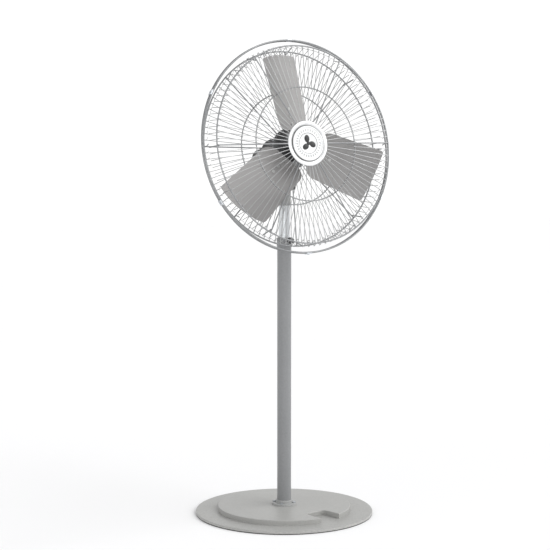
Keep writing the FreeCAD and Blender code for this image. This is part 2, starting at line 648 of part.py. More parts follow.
def make_motor_bolts():
    """Through bolts that hold the guard's plate, the bracket and the motor together."""
    end = PLATE_FRONT + MOTOR_BOLT_HEAD + MOTOR_BOLT_END
    shank = Part.makeCylinder(MOTOR_BOLT_RADIUS, end - MOTOR_BACK, Vector(0, 0, MOTOR_BACK))
    bolt = shank.fuse(hexagon(MOTOR_BOLT_HEAD_RADIUS, MOTOR_BACK - MOTOR_BOLT_HEAD, MOTOR_BOLT_HEAD))
    return around(moved(bolt, Vector(MOTOR_BOLT_CIRCLE / 2, 0, 0)), MOTOR_BOLT_COUNT, 45.0)


def make_motor_nuts():
    """The nuts on the front ends of the motor's bolts."""
    nut = hexagon(MOTOR_BOLT_HEAD_RADIUS, PLATE_FRONT, MOTOR_BOLT_HEAD)
    below = Vector(0, 0, PLATE_FRONT - 1)
    nut = nut.cut(Part.makeCylinder(MOTOR_BOLT_RADIUS + SCREW_FIT, MOTOR_BOLT_HEAD + 2, below))
    return around(moved(nut, Vector(MOTOR_BOLT_CIRCLE / 2, 0, 0)), MOTOR_BOLT_COUNT, 45.0)


def make_switch_housing():
    """A drawn steel can on the motor's back, with a screwed lip."""
    radius = HOUSING_DIAMETER / 2
    can = Part.makeCylinder(radius, HOUSING_LENGTH, Vector(0, 0, HOUSING_BACK))
    can = can.makeFillet(HOUSING_ROUND, edges_at(can, HOUSING_BACK, radius))
    lip = Part.makeCylinder(HOUSING_LIP_DIAMETER / 2, HOUSING_LIP, Vector(0, 0, MOTOR_BACK - HOUSING_LIP))
    can = can.fuse(lip).removeSplitter()
    inside = radius - HOUSING_SHEET
    floor = HOUSING_BACK + HOUSING_SHEET
    hollow = Part.makeCylinder(inside, HOUSING_LENGTH - HOUSING_SHEET, Vector(0, 0, floor))
    edges = edges_at(hollow, floor, inside)
    can = can.cut(hollow.makeFillet(HOUSING_ROUND - HOUSING_SHEET, edges))
    behind = Vector(0, 0, HOUSING_BACK - HOUSING_SHEET)
    can = can.cut(Part.makeCylinder(SWITCH_SHAFT_RADIUS + RUNNING_FIT, 3 * HOUSING_SHEET, behind))
    gland_z = MOTOR_BACK - GLAND_FROM_MOTOR
    gland = rod(Vector(0, 0, gland_z), Vector(0, -2 * radius, gland_z), GLAND_RADIUS * GLAND_NECK + SCREW_FIT)
    return can.cut(gland).cut(Part.makeCompound(housing_screw_bodies(SCREW_FIT, 0.0)))


def housing_screw_bodies(clearance, head):
    """The housing's screws, or with no head the holes for them."""
    seat = MOTOR_BACK - HOUSING_LIP
    length = HOUSING_LIP + HOUSING_SCREW_BITE + 2 * clearance
    shank = Part.makeCylinder(HOUSING_SCREW_RADIUS + clearance, length, Vector(0, 0, seat - clearance))
    if head:
        top = Part.makeCylinder(HOUSING_SCREW_HEAD_RADIUS, head, Vector(0, 0, seat - head))
        shank = shank.fuse(top).removeSplitter()
    return around(moved(shank, Vector(HOUSING_SCREW_CIRCLE / 2, 0, 0)), HOUSING_SCREW_COUNT, 90.0)


def make_capacitor():
    """The motor's run capacitor, inside the housing."""
    place = Vector(0, CAPACITOR_RADIUS, MOTOR_BACK - CAPACITOR_LENGTH)
    can = Part.makeCylinder(CAPACITOR_RADIUS, CAPACITOR_LENGTH, place)
    rims = edges_at(can, place.z, CAPACITOR_RADIUS) + edges_at(can, MOTOR_BACK, CAPACITOR_RADIUS)
    return can.makeFillet(CAPACITOR_EDGE_ROUND, rims)


def make_speed_switch():
    """The rotary switch behind the housing's back wall."""
    half = SWITCH_SIDE / 2
    back = HOUSING_BACK + HOUSING_SHEET
    return box(Vector(-half, -half, back), Vector(half, half, back + SWITCH_DEPTH))


def make_speed_knob():
    """The pointer knob and its spindle, on the housing's back."""
    end = HOUSING_BACK - KNOB_GAP
    grip = make_grip(SPEED_KNOB_RADIUS, SPEED_KNOB_LENGTH, 12)
    grip = moved(grip, Vector(0, 0, end - SPEED_KNOB_LENGTH))
    length = KNOB_GAP + HOUSING_SHEET - SIDE_GAP + KNOB_ROOT
    stem = Part.makeCylinder(SWITCH_SHAFT_RADIUS, length, Vector(0, 0, end - KNOB_ROOT))
    return grip.fuse(stem)


def make_cable_gland():
    """The gland for the supply cable, pointing down from the housing."""
    place = Vector(0, 0, MOTOR_BACK - GLAND_FROM_MOTOR)
    start = HOUSING_DIAMETER / 2 + SCREW_FIT
    nut_length = GLAND_LENGTH * GLAND_NUT
    neck = rod(Vector(0, GLAND_INSIDE - start, 0), Vector(0, -start - 1, 0), GLAND_RADIUS * GLAND_NECK)
    nut = moved(turned(hexagon(GLAND_RADIUS, 0, nut_length), 90, X_AXIS), Vector(0, -start, 0))
    foot, tip = GLAND_RADIUS * GLAND_CAP_FOOT, GLAND_RADIUS * GLAND_CAP_TIP
    cap = Part.makeCone(foot, tip, GLAND_LENGTH - nut_length, Vector(0, -start - nut_length, 0), Vector(0, -1, 0))
    body = neck.fuse([nut, cap]).removeSplitter()
    bore = rod(Vector(0, 0, 0), Vector(0, -start - GLAND_LENGTH - 1, 0), GLAND_BORE_RADIUS)
    return moved(body.cut(bore), place)


# ---- rotor, in the fan head's frame ----

def make_shaft():
    """The motor's shaft, chamfered at its front end."""
    back = MOTOR_BACK + SHAFT_BACK_GAP
    shaft = Part.makeCylinder(SHAFT_RADIUS, SHAFT_FRONT - back, Vector(0, 0, back))
    return shaft.makeChamfer(SHAFT_CHAMFER, edges_at(shaft, SHAFT_FRONT, SHAFT_RADIUS))


def make_rotor_core():
    """The squirrel-cage rotor on the shaft."""
    return tube(STATOR_BORE / 2 - AIR_GAP, SHAFT_RADIUS + SCREW_FIT, STATOR_BACK, STATOR_FRONT)


def camber_radius():
    return BLADE_TIP_CHORD ** 2 / (8 * BLADE_CAMBER) + BLADE_CAMBER / 2


def blade_band(front, back):
    """The space between two curved faces of a blade along +X, as far as its front and back
    lie behind the blade's front face. The hollow side faces forward, and +Y is the trailing
    edge, which stands forward."""
    pitch = math.radians(BLADE_PITCH)
    radius = camber_radius()
    centre = Vector(0, -radius * math.sin(pitch), radius * math.cos(pitch) + BLADE_PLANE)
    length = SWEEP_DIAMETER
    outer = Part.makeCylinder(radius + back, length, centre, X_AXIS)
    return outer.cut(Part.makeCylinder(radius + front, length, centre, X_AXIS))


def make_blade():
    """One blade along +X: a curved sheet cut to a paddle with a swept tip."""
    share = math.cos(math.radians(BLADE_PITCH)) / 2
    root = BLADE_ROOT_CHORD * share
    tip = BLADE_TIP_CHORD * share
    reach = SWEEP_DIAMETER / 2
    depth = BLADE_TIP_CHORD / 2
    corners = [Vector(BLADE_ROOT_RADIUS, -root, -depth), Vector(reach, -tip, -depth),
               Vector(reach, tip, -depth), Vector(BLADE_ROOT_RADIUS, root, -depth)]
    prism = Part.Face(Part.makePolygon(corners + corners[:1])).extrude(Vector(0, 0, 2 * depth))
    for end, radius in ((BLADE_ROOT_RADIUS, BLADE_ROOT_CORNER), (reach, BLADE_TIP_CORNER)):
        upright = [edge for edge in prism.Edges
                   if edge.BoundBox.ZLength > depth and abs(edge.CenterOfMass.x - end) < 1]
        prism = prism.makeFillet(radius, upright)
    sweep = Part.makeCylinder(reach, 2 * depth, Vector(0, 0, -depth))
    blade = blade_band(0, BLADE_SHEET).common(prism).common(sweep)
    holes = [rivet_rod(place, RIVET_RADIUS + SCREW_FIT) for place in RIVET_PLACES]
    return blade.cut(Part.makeCompound(holes)).Solids[0]


def rivet_rod(place, radius):
    """A rod through the blade and its arm, square to the pitch."""
    pitch = math.radians(BLADE_PITCH)
    along = Vector(0, -math.sin(pitch), math.cos(pitch))
    at = Vector(place, 0, BLADE_PLANE)
    return rod(at - along * (BLADE_SHEET + ARM_SHEET + RIVET_HEAD), at + along * RIVET_HEAD, radius)


def make_rivet(place):
    """A domed rivet through the blade and its arm."""
    pitch = math.radians(BLADE_PITCH)
    along = Vector(0, -math.sin(pitch), math.cos(pitch))
    back = -(BLADE_SHEET + ARM_SHEET)
    at = Vector(place, 0, BLADE_PLANE)
    shank = rod(at + along * (back - RIVET_HEAD), at + along * RIVET_HEAD, RIVET_RADIUS)
    front_head = rod(at + along * RIVET_FIT, at + along * RIVET_HEAD, RIVET_HEAD_RADIUS)
    rear_head = rod(at + along * (back - RIVET_HEAD), at + along * (back - RIVET_FIT), RIVET_HEAD_RADIUS)
    return shank.fuse([front_head, rear_head]).removeSplitter()


def make_spider():
    """The blade carrier: a hub on the shaft with three arms that follow the blades' curve."""
    half = ARM_WIDTH / 2
    outline = box(Vector(0, -half, -ARM_WIDTH), Vector(ARM_LENGTH, half, ARM_WIDTH))
    upright = [edge for edge in outline.Edges
               if edge.BoundBox.ZLength > ARM_WIDTH and edge.CenterOfMass.x > 1]
    arm = blade_band(BLADE_SHEET, BLADE_SHEET + ARM_SHEET).common(outline.makeFillet(ARM_CORNER, upright))
    arm = arm.cut(Part.makeCompound([rivet_rod(place, RIVET_RADIUS + SCREW_FIT) for place in RIVET_PLACES]))
    hub = Part.makeCylinder(HUB_RADIUS, HUB_FRONT - HUB_BACK, Vector(0, 0, HUB_BACK))
    hub = hub.makeChamfer(HUB_CHAMFER, edges_at(hub, HUB_FRONT, HUB_RADIUS))
    body = hub.fuse(around(arm, BLADE_COUNT, BLADE_ANGLE)).removeSplitter()
    bore = Part.makeCylinder(SHAFT_RADIUS + SCREW_FIT, HUB_FRONT - HUB_BACK + 2, Vector(0, 0, HUB_BACK - 1))
    body = body.cut(bore)
    return body.cut(hub_screw(SCREW_FIT, HUB_RADIUS + 1))


def hub_screw(clearance, end):
    """The hub's set screw, or the hole for it."""
    start = Vector(SHAFT_RADIUS + SCREW_FIT, 0, HUB_SCREW_PLACE)
    screw = rod(start, Vector(end, 0, HUB_SCREW_PLACE), HUB_SCREW_RADIUS + clearance)
    return turned(screw, BLADE_ANGLE + 180.0 / BLADE_COUNT)


# ---- guards, in the fan head's frame ----

def rim_end(corner, wire):
    """Where a straight wire from the corner ends on the inside of the rim ring that it touches."""
    centre = Vector(RIM_RADIUS, 0, RIM_SPREAD)
    apart = RIM_WIRE / 2 + wire / 2
    reach = centre - corner
    swing = math.degrees(math.asin(apart / reach.Length))
    way = FreeCAD.Rotation(Y_AXIS, swing).multVec(reach)
    touch = math.sqrt(reach.Length ** 2 - apart ** 2)
    return corner + way * ((touch + WIRE_PAST_RIM) / reach.Length)


def guard_line(start, depth_at_start, face_depth, wire):
    """The inner end, the corner and the rim end of a bent wire whose inner side lies where the
    spokes' inner side lies."""
    side = wire / 2 - SPOKE
    inner = Vector(start, 0, depth_at_start + side)
    corner = Vector(FACE_RADIUS + FACE_RING_WIRE / 2 + wire / 2, 0, face_depth + side)
    return inner, corner, rim_end(corner, wire)


def depth_between(inner, corner, radius):
    """How far forward a straight spoke is at a radius."""
    share = (radius - inner.x) / (corner.x - inner.x)
    return inner.z + share * (corner.z - inner.z)


def guard_spokes(start, depth_at_start, face_depth, ribs):
    """The straight face wires, every other one short, and the side wires behind the face ring.
    Where a rib stands there is no wire."""
    inner, corner = guard_line(start, depth_at_start, face_depth, SPOKE_WIRE)[:2]
    end = Vector(FACE_RADIUS, 0, depth_between(inner, corner, FACE_RADIUS))
    middle = Vector(SPOKE_SHORT_START, 0, depth_between(inner, corner, SPOKE_SHORT_START))
    below = Vector(corner.x, 0, corner.z - SPOKE_WIRE)
    wires = []
    for k in range(SPOKE_COUNT):
        if k % (SPOKE_COUNT // ribs):
            face_wire = rod(inner if k % 2 == 0 else middle, end, SPOKE)
            side_wire = rod(below, rim_end(below, SPOKE_WIRE), SPOKE)
            wires += [turned(wire, 360.0 / SPOKE_COUNT * k) for wire in (face_wire, side_wire)]
    return wires


def guard_ribs(start, depth_at_start, face_depth, ribs):
    """Heavier bent bars outside the rings, welded to the edge of the guard's plate."""
    inner, corner, rim = guard_line(start, depth_at_start, face_depth, RIB_WIRE)
    bar = rod(inner, corner, RIB_WIRE / 2)
    bar = bar.fuse([rod(corner, rim, RIB_WIRE / 2), Part.makeSphere(RIB_WIRE / 2, corner)])
    return around(bar.removeSplitter(), ribs)


def guard_rings(start, depth_at_start, face_depth):
    """The rim ring outside the wires, and the face and middle rings behind them."""
    inner, corner = guard_line(start, depth_at_start, face_depth, SPOKE_WIRE)[:2]
    face = depth_between(inner, corner, FACE_RADIUS) - SPOKE - FACE_RING_WIRE / 2
    middle = depth_between(inner, corner, MID_RADIUS) - SPOKE - MID_RING_WIRE / 2
    return [ring(RIM_RADIUS, RIM_WIRE, RIM_SPREAD),
            ring(FACE_RADIUS, FACE_RING_WIRE, face),
            ring(MID_RADIUS, MID_RING_WIRE, middle)]


def backwards(solids):
    """Copies turned to face the rear."""
    return [turned(solid, 180, X_AXIS) for solid in solids]


def write_guard(name, solids, angle):
    """One node of a guard, its ribs' first one at an angle."""
    write_on_head(name, *[turned(solid, angle) for solid in solids])


def write_guards():
    """Both guards, each as rings, wires and ribs."""
    front = FRONT_CENTRE_DEPTH, FRONT_FACE_DEPTH
    front_ribs = guard_ribs(FRONT_PLATE_RADIUS + WELD_GAP, *front, FRONT_RIB_COUNT)
    front_wires = guard_spokes(FRONT_SPOKE_START, *front, FRONT_RIB_COUNT)
    write_guard("front_guard_wires", front_wires, FRONT_RIB_ANGLE)
    write_guard("front_guard_ribs", front_ribs, FRONT_RIB_ANGLE)
    write_guard("front_guard_rings", guard_rings(FRONT_SPOKE_START, *front), 0.0)
    rear = -PLATE_FRONT - SPOKE, REAR_FACE_DEPTH
    rear_wires = backwards(guard_spokes(REAR_SPOKE_START, *rear, REAR_RIB_COUNT))
    rear_ribs = backwards(guard_ribs(REAR_PLATE_RADIUS + WELD_GAP, *rear, REAR_RIB_COUNT))
    write_guard("rear_guard_wires", rear_wires, REAR_RIB_ANGLE)
    write_guard("rear_guard_ribs", rear_ribs, REAR_RIB_ANGLE)
    write_guard("rear_guard_rings", backwards(guard_rings(REAR_SPOKE_START, *rear)), 0.0)


def make_rear_plate():
    """The plate in the middle of the rear guard, bolted to the motor."""
    plate = tube(REAR_PLATE_RADIUS, SHAFT_HOLE_RADIUS, BRACKET_FRONT, PLATE_FRONT)
    return plate.cut(motor_bolt_holes(SCREW_FIT, BRACKET_FRONT - 1, PLATE_FRONT + 1))


def front_plate_back():
    """The back of the front plate, which lies on the wires' inner ends."""
    return FRONT_CENTRE_DEPTH + SPOKE


def make_front_plate():
    """The plate in the middle of the front guard."""
    back = front_plate_back()
    front = back + FRONT_PLATE_SHEET
    disc = Part.makeCylinder(FRONT_PLATE_RADIUS, FRONT_PLATE_SHEET, Vector(0, 0, back))
    disc = disc.makeFillet(FRONT_PLATE_ROUND, edges_at(disc, front, FRONT_PLATE_RADIUS))
    return disc.cut(Part.makeCompound(badge_screw_bodies(SCREW_FIT, 0.0)))


def badge_screw_bodies(clearance, head):
    """The badge's screws, or with no head the holes for them."""
    seat = front_plate_back() + FRONT_PLATE_SHEET + BADGE_THICKNESS - BADGE_DISH
    length = seat - front_plate_back() + BADGE_SCREW_END
    shank = Part.makeCylinder(BADGE_SCREW_RADIUS + clearance, length, Vector(0, 0, seat - length + clearance))
    if head:
        cap = Part.makeCylinder(BADGE_SCREW_HEAD_RADIUS, head, Vector(0, 0, seat))
        shank = shank.fuse(cap).removeSplitter()
    return around(moved(shank, Vector(BADGE_SCREW_PLACE, 0, 0)), BADGE_SCREW_COUNT, 0.0)


def make_badge():
    """The round badge on the front plate: a dished disc with a raised rim."""
    back = front_plate_back() + FRONT_PLATE_SHEET
    front = back + BADGE_THICKNESS
    disc = Part.makeCylinder(BADGE_RADIUS, BADGE_THICKNESS, Vector(0, 0, back))
    dish = Part.makeCylinder(BADGE_RADIUS - BADGE_RIM, BADGE_THICKNESS, Vector(0, 0, front - BADGE_DISH))
    disc = disc.cut(dish)
    disc = disc.makeFillet(BADGE_EDGE_ROUND, edges_at(disc, front, BADGE_RADIUS))
    return disc.cut(Part.makeCompound(badge_screw_bodies(SCREW_FIT, 0.0)))


def make_clip():
    """One clip at +X that holds the two rim rings together, with grooves for them."""
    outer = RIM_RADIUS + RIM_WIRE / 2 + CLIP_COVER
    half = CLIP_LENGTH / 2
    deep = RIM_SPREAD + RIM_WIRE / 2
    body = box(Vector(outer - CLIP_DEPTH, -half, -deep), Vector(outer, half, deep))
    upright = [edge for edge in body.Edges
               if edge.BoundBox.ZLength > deep and edge.CenterOfMass.x > outer - 1]
    body = body.makeFillet(CLIP_EDGE_ROUND, upright)
    for side in (-1, 1):
        body = body.cut(ring(RIM_RADIUS, RIM_WIRE + 2 * SCREW_FIT, side * RIM_SPREAD))
        cut_low = Vector(outer - CLIP_DEPTH - 1, -half - 1, side * RIM_SPREAD - RIM_WIRE / 2 - SCREW_FIT)
        cut_high = Vector(RIM_RADIUS, half + 1, side * RIM_SPREAD + RIM_WIRE / 2 + SCREW_FIT)
        body = body.cut(box(cut_low, cut_high))
    hole = rod(Vector(outer - CLIP_DEPTH - 1, 0, 0), Vector(outer + 1, 0, 0), CLIP_SCREW_RADIUS + SCREW_FIT)
    return body.cut(hole)


def make_clip_screw():
    """The screw through one clip at +X."""
    outer = RIM_RADIUS + RIM_WIRE / 2 + CLIP_COVER
    shank = rod(Vector(outer - CLIP_DEPTH, 0, 0), Vector(outer, 0, 0), CLIP_SCREW_RADIUS)
    head = rod(Vector(outer, 0, 0), Vector(outer + CLIP_SCREW_HEAD, 0, 0), CLIP_SCREW_HEAD_RADIUS)
    return shank.fuse(head).removeSplitter()


# ---- the whole object ----

def write_base_and_pole():
    collar = POLE_RADIUS + FLANGE_COLLAR_WALL
    write("floor_ring", make_floor_ring())
    write("base_pan", make_base_pan())
    write("base_weight", make_weight())
    write("base_screws", *make_base_screws())
    write("pole_flange", make_flange())
    write("flange_bolts", *make_flange_bolts())
    write("flange_set_screws", *flange_set_screws(0.0, POLE_RADIUS + SCREW_FIT, collar))
    write("outer_pole", make_outer_pole())
    write("pole_collar", make_pole_collar())
    write("height_knob", make_clamp_knob())
    write("inner_pole", make_inner_pole())
    write("pole_guide", make_pole_guide())


def write_pole_head():
    write("pole_head", make_pole_head())
    write("swivel_knob", make_swivel_knob())
    write("pivot_bolt", make_pivot_bolt())
    write("tilt_washers", *make_tilt_washers())
    write("tilt_knob", make_tilt_knob())


def write_motor():
    write_on_head("motor_bracket", make_motor_bracket())
    write_on_head("motor_front_bell", make_front_bell())
    write_on_head("motor_rear_bell", make_rear_bell())
    write_on_head("motor_shell", make_motor_shell())
    write_on_head("stator_core", make_stator_core())
    write_on_head("stator_windings", *make_stator_windings())
    write_on_head("front_bearing", *make_bearing(MOTOR_FRONT - BELL_LENGTH))
    write_on_head("rear_bearing", *make_bearing(MOTOR_BACK + BELL_LENGTH - BEARING_WIDTH))
    write_on_head("motor_bolts", *make_motor_bolts())
    write_on_head("motor_nuts", *make_motor_nuts())
    write_on_head("switch_housing", make_switch_housing())
    write_on_head("housing_screws", *housing_screw_bodies(0.0, HOUSING_SCREW_HEAD))
    write_on_head("run_capacitor", make_capacitor())
    write_on_head("speed_switch", make_speed_switch())
    write_on_head("speed_knob", make_speed_knob())
    write_on_head("cable_gland", make_cable_gland())


def write_rotor():
    write_on_head("motor_shaft", make_shaft())
    write_on_head("rotor_core", make_rotor_core())
    write_on_head("blade_spider", make_spider())
    write_on_head("hub_set_screw", hub_screw(0.0, HUB_RADIUS))
    rivets = [make_rivet(place) for place in RIVET_PLACES]
    all_rivets = []
    for number, blade in enumerate(around(make_blade(), BLADE_COUNT, BLADE_ANGLE), 1):
        write_on_head("blade_%d" % number, blade)
        all_rivets += [turned(rivet, BLADE_ANGLE + 360.0 / BLADE_COUNT * (number - 1)) for rivet in rivets]
    write_on_head("blade_rivets", *all_rivets)


def write_guard_trim():
    write_on_head("rear_guard_plate", make_rear_plate())
    write_on_head("front_guard_plate", make_front_plate())
    write_on_head("centre_badge", make_badge())
    write_on_head("badge_screws", *badge_screw_bodies(0.0, BADGE_SCREW_HEAD))
    write_on_head("guard_clips", *around(make_clip(), CLIP_COUNT, CLIP_ANGLE))
    write_on_head("guard_clip_screws", *around(make_clip_screw(), CLIP_COUNT, CLIP_ANGLE))


os.makedirs("parts", exist_ok=True)
write_base_and_pole()
write_pole_head()
write_motor()
write_rotor()
write_guards()
write_guard_trim()
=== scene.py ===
import json
import math

import bpy
from mathutils import Matrix, Vector


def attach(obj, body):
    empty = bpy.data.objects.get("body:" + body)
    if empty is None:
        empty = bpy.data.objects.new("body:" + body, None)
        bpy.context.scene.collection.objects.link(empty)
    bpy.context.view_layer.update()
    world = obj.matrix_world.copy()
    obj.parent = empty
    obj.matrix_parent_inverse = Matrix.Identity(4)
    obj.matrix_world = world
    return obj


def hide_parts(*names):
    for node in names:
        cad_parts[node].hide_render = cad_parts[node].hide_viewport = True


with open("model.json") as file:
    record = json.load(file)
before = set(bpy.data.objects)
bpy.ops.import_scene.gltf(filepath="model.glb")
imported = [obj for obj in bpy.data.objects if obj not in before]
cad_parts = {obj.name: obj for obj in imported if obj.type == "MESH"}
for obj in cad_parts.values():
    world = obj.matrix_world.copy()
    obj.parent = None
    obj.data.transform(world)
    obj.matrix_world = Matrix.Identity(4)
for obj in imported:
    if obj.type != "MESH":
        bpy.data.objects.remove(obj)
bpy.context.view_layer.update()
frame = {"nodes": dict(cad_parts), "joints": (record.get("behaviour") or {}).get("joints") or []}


# ---- Camera ----
# It stands at chest height, in front of the fan and to its left, and looks slightly down.
# The long lens keeps the pole upright.
camera_distance = 4.771
camera_height = 1.204
camera_side = math.radians(-30.3)
camera_turn = camera_side + math.radians(0.38)
camera_fall = math.radians(4.56)
bpy.ops.object.camera_add(
    location=(camera_distance * math.sin(camera_side), -camera_distance * math.cos(camera_side), camera_height),
    rotation=(math.pi / 2 - camera_fall, 0, camera_turn),
)
camera = bpy.context.object
camera.data.sensor_width = 36.0
camera.data.lens = 91.6
camera.data.clip_end = 60
bpy.context.scene.camera = camera


# ---- Studio floor and light ----
# A white floor and white walls all round, under a greyer ceiling that the metal reflects. A large
# lamp stands high on the right, and a second one low on the left lights the blades from below.
def no_selection():
    if bpy.context.object and bpy.context.object.mode != "OBJECT":
        bpy.ops.object.mode_set(mode="OBJECT")
    bpy.ops.object.select_all(action="DESELECT")


class Signal:
    """A shader socket that can stand in a sum or a product like a number."""

    def __init__(self, tree, socket):
        self.tree = tree
        self.socket = socket

    def maths(self, operation, first, second):
        node = self.tree.nodes.new("ShaderNodeMath")
        node.operation = operation
        for slot, value in enumerate((first, second)):
            if isinstance(value, Signal):
                self.tree.links.new(value.socket, node.inputs[slot])
            else:
                node.inputs[slot].default_value = value
        return Signal(self.tree, node.outputs[0])

    def __add__(self, other):
        return self.maths("ADD", self, other)

    __radd__ = __add__

    def __mul__(self, other):
        return self.maths("MULTIPLY", self, other)

    __rmul__ = __mul__

    def __sub__(self, other):
        return self.maths("SUBTRACT", self, other)

    def __rsub__(self, other):
        return self.maths("SUBTRACT", other, self)

    def __pow__(self, other):
        return self.maths("POWER", self, other)

    def above(self, other):
        return self.maths("GREATER_THAN", self, other)

    def at_least(self, other):
        return self.maths("MAXIMUM", self, other)

    def at_most(self, other):
        return self.maths("MINIMUM", self, other)


class Nodes:
    """A node tree that is being filled, for the studio's light or for a material."""

    def __init__(self, tree):
        self.tree = tree

    def node(self, kind, settings=None, values=None, out=0):
        """One node: its settings first, then the values or links of its sockets."""
        made = self.tree.nodes.new("ShaderNode" + kind)
        for name, value in (settings or {}).items():
            if name == "stops":
                ramp = made.color_ramp
                for element, (place, colour) in zip(ramp.elements, value):
                    element.position = place
                    element.color = (*colour, 1)
            else:
                setattr(made, name, value)
        for slot, value in (values or {}).items():
            if isinstance(value, Signal):
                self.tree.links.new(value.socket, made.inputs[slot])
            else:
                made.inputs[slot].default_value = value
        return Signal(self.tree, made.outputs[out])

    def place(self, scale=(1, 1, 1), turn=(0, 0, 0), move=(0, 0, 0)):
        """Object coordinates, scaled, turned and moved."""
        here = self.node("TexCoord", out="Object")
        return self.node("Mapping", values={"Vector": here, "Scale": scale, "Rotation": turn, "Location": move})

    def noise(self, scale, detail=2.0, rough=0.5, where=None):
        here = where or self.node("TexCoord", out="Object")
        return self.node("TexNoise", values={
            "Vector": here, "Scale": scale, "Detail": detail, "Roughness": rough})

    def mix(self, factor, first, second):
        """One colour to another by a factor. 6, 7 and 2 are the node's colour sockets."""
        first, second = ((*end, 1) if isinstance(end, tuple) else end for end in (first, second))
        return self.node("Mix", {"data_type": "RGBA"}, {"Factor": factor, 6: first, 7: second}, out=2)

    def bump(self, height, strength, distance):
        return self.node("Bump", values={"Height": height, "Strength": strength, "Distance": distance})


class Finish(Nodes):
    """A material: one Principled shader, and the nodes that feed it."""

    def __init__(self, name, **uniform):
        self.material = bpy.data.materials.new(name)
        self.material.use_nodes = True
        super().__init__(self.material.node_tree)
        self.shader = self.tree.nodes["Principled BSDF"]
        for socket, value in uniform.items():
            self.shader.inputs[socket.replace("_", " ")].default_value = value

    def feed(self, **links):
        for socket, signal in links.items():
            self.tree.links.new(signal.socket, self.shader.inputs[socket.replace("_", " ")])


def coat(finish, *nodes):
    """Gives CAD nodes a material."""
    for name in nodes:
        for slot in frame["nodes"][name].material_slots:
            slot.material = finish.material


floor_size = 40.0
no_selection()
bpy.ops.mesh.primitive_plane_add(size=floor_size)
floor = bpy.context.object
floor.name = "studio_floor"
white_floor = Finish("studio_white", Roughness=0.8, Specular_IOR_Level=0.1)
white_floor.feed(Base_Color=white_floor.mix(white_floor.noise(0.4), (0.90, 0.90, 0.90), (0.93, 0.93, 0.93)))
floor.data.materials.append(white_floor.material)

world = bpy.data.worlds.new("studio")
world.use_nodes = True
backdrop = world.node_tree.nodes["Background"]
studio = Nodes(world.node_tree)
upwards = studio.node("VectorMath", {"operation": "DOT_PRODUCT"},
                      {0: studio.node("TexCoord", out="Generated"), 1: (0, 0, 1)}, out="Value")
wall_white = (0.20, (1.08, 1.08, 1.08))
ceiling_grey = (0.85, (0.60, 0.60, 0.61))
glow = studio.node("ValToRGB", {"stops": (wall_white, ceiling_grey)}, {"Fac": upwards})
studio.tree.links.new(glow.socket, backdrop.inputs["Color"])
bpy.context.scene.world = world
bpy.context.scene.view_settings.view_transform = "Standard"


def soft_sun(name, aim, energy, spread):
    """Even light along a direction, softened by how wide its source is."""
    no_selection()
    bpy.ops.object.light_add(type="SUN")
    lamp = bpy.context.object
    lamp.name = name
    lamp.data.energy = energy
    lamp.data.angle = math.radians(spread)
    lamp.rotation_euler = Vector(aim).to_track_quat("-Z", "Y").to_euler()


soft_sun("high_right", (-3.0, 2.4, -3.2), 1.75, 60)
soft_sun("low_left", (2.5, 3.4, 0.9), 1.5, 40)


# ---- Floor ring ----
# A moulded rubber ring under the pan's rim, which grips the floor. Matt, and dusty at its edge.
floor_rubber = Finish("floor_rubber", Specular_IOR_Level=0.3)
floor_rubber.feed(
    Base_Color=floor_rubber.mix(floor_rubber.noise(30.0), (0.018, 0.018, 0.018), (0.05, 0.05, 0.048)),
    Roughness=0.7 + 0.2 * floor_rubber.noise(80.0),
    Normal=floor_rubber.bump(floor_rubber.noise(400.0), 0.3, 0.0005),
)
coat(floor_rubber, "floor_ring")


# ---- Base pan and weight ----
# A pressed steel pan with a turned-down rim, and a cast weight bolted on it. Both are stoved
# with light grey enamel, which has a fine orange peel and is scuffed where shoes touch it.
def grey_enamel(name, tone, peel, scuffed=0.0, mottled=0.35):
    finish = Finish(name, Specular_IOR_Level=0.45)
    cloud = finish.noise(5.0, 4.0)
    speck = (finish.noise(165.0, 3.0) - 0.5) * 2.6 + 0.5
    darker = tuple(0.84 * c for c in tone)
    lighter = tuple(1.10 * c for c in tone)
    shade = cloud * (1 - mottled) + speck.at_least(0.0).at_most(1.0) * mottled
    colour = finish.mix(shade, darker, lighter)
    scratch = finish.noise(9.0, 5.0, 0.6, finish.place(scale=(9, 38, 30), turn=(0, 0, 0.6)))
    mark = ((scratch - 0.62).at_least(0.0) * 6.0).at_most(1.0) * scuffed
    colour = finish.mix(mark, colour, tuple(0.62 * c for c in tone))
    skin = finish.noise(peel, 2.0)
    finish.feed(Base_Color=colour, Roughness=0.34 + 0.16 * finish.noise(11.0, 3.0) + 0.2 * mark,
                Normal=finish.bump(skin, 0.14, 0.0007))
    return finish


base_grey = (0.375, 0.375, 0.361)
pan_enamel = grey_enamel("pan_enamel", base_grey, 300.0, 0.5, 0.8)
cast_enamel = grey_enamel("cast_enamel", base_grey, 230.0, 0.35)
coat(pan_enamel, "base_pan")
coat(cast_enamel, "base_weight")


# ---- Bright fasteners ----
# Hex screws, bolts, nuts and clips of steel with a bright zinc plating, faintly blue and cloudy.
def bright_zinc(name, dark, light, rough, grain=700.0):
    finish = Finish(name, Metallic=1.0)
    finish.feed(Base_Color=finish.mix(finish.noise(24.0, 4.0), dark, light),
                Roughness=rough + 0.18 * finish.noise(60.0, 3.0),
                Normal=finish.bump(finish.noise(grain), 0.05, 0.0003))
    return finish


zinc = bright_zinc("bright_zinc", (0.42, 0.44, 0.47), (0.62, 0.64, 0.66), 0.22)
coat(zinc, "base_screws", "flange_bolts", "pivot_bolt", "motor_bolts", "motor_nuts", "housing_screws",
     "badge_screws", "guard_clips", "guard_clip_screws", "flange_set_screws")


